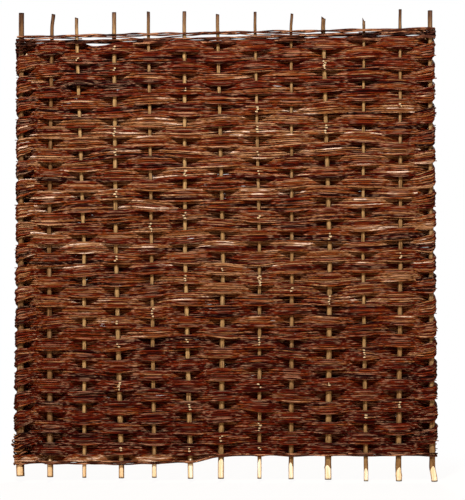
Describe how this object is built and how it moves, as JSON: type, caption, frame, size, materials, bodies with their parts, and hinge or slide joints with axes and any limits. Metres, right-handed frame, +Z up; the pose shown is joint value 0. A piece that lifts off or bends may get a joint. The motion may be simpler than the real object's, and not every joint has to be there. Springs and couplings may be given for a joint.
{
  "type": "woven hurdle",
  "caption": "Square fence panel of brown willow rods woven in bundles over and under round uprights, bare at their feet and tips, with twisted bindings along the edges.",
  "frame": {"origin": "on the ground under the middle of the panel, level with the lowest foot", "axes": "+Z up along the uprights, +X to the right seen from the front, +Y through the panel to its back"},
  "size_m": [1.8422, 0.0534, 2.0514],
  "materials": {
    "upright_bark": "dry olive-tan bark",
    "weave_bark": "dry chestnut bark",
    "binding_bark": "dry dark bark"
  },
  "bodies": {
    "root": {"upright_01": "upright_bark", "upright_02": "upright_bark", "upright_03": "upright_bark", "upright_04": "upright_bark", "upright_05": "upright_bark", "upright_06": "upright_bark", "upright_07": "upright_bark", "upright_08": "upright_bark", "upright_09": "upright_bark", "upright_10": "upright_bark", "upright_11": "upright_bark", "upright_12": "upright_bark", "upright_13": "upright_bark", "weave_row_01": "weave_bark", "weave_row_02": "weave_bark", "weave_row_03": "weave_bark", "weave_row_04": "weave_bark", "weave_row_05": "weave_bark", "weave_row_06": "weave_bark", "weave_row_07": "weave_bark", "weave_row_08": "weave_bark", "weave_row_09": "weave_bark", "weave_row_10": "weave_bark", "weave_row_11": "weave_bark", "weave_row_12": "weave_bark", "weave_row_13": "weave_bark", "weave_row_14": "weave_bark", "weave_row_15": "weave_bark", "weave_row_16": "weave_bark", "weave_row_17": "weave_bark", "weave_row_18": "weave_bark", "weave_row_19": "weave_bark", "weave_row_20": "weave_bark", "weave_row_21": "weave_bark", "weave_row_22": "weave_bark", "weave_row_23": "weave_bark", "weave_row_24": "weave_bark", "weave_row_25": "weave_bark", "weave_row_26": "weave_bark", "weave_row_27": "weave_bark", "weave_row_28": "weave_bark", "weave_row_29": "weave_bark", "weave_row_30": "weave_bark", "weave_row_31": "weave_bark", "weave_row_32": "weave_bark", "weave_row_33": "weave_bark", "weave_row_34": "weave_bark", "weave_row_35": "weave_bark", "weave_row_36": "weave_bark", "weave_row_37": "weave_bark", "weave_row_38": "weave_bark", "weave_row_39": "weave_bark", "packing_row": "weave_bark", "bottom_binding": "binding_bark", "top_binding_lower": "binding_bark", "top_binding_upper": "binding_bark"}
  },
  "joints": []
}
